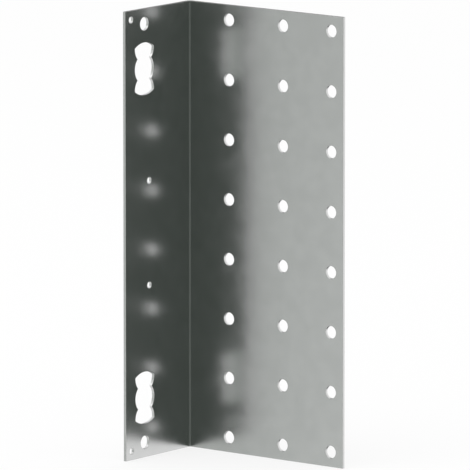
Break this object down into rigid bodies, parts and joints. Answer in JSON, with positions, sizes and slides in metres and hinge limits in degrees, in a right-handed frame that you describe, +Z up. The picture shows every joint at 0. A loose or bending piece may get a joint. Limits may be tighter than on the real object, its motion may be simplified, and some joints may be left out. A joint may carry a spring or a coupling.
{
  "type": "concealed fixing bracket",
  "caption": "Tall folded steel angle with a grid of screw holes on the wide leg and lobed slots on the narrow leg, for hidden fixing of a panel to a wall.",
  "frame": {"origin": "centre of the narrow leg's outer face, which lies against the wall", "axes": "+Z up along the fold, +X along the wide leg away from the wall, +Y out of the wide leg's outer face"},
  "size_m": [0.13, 0.07, 0.3],
  "materials": {
    "galvanised_steel": "satin zinc-coated sheet"
  },
  "bodies": {
    "root": {"folded_angle": "galvanised_steel"}
  },
  "joints": []
}
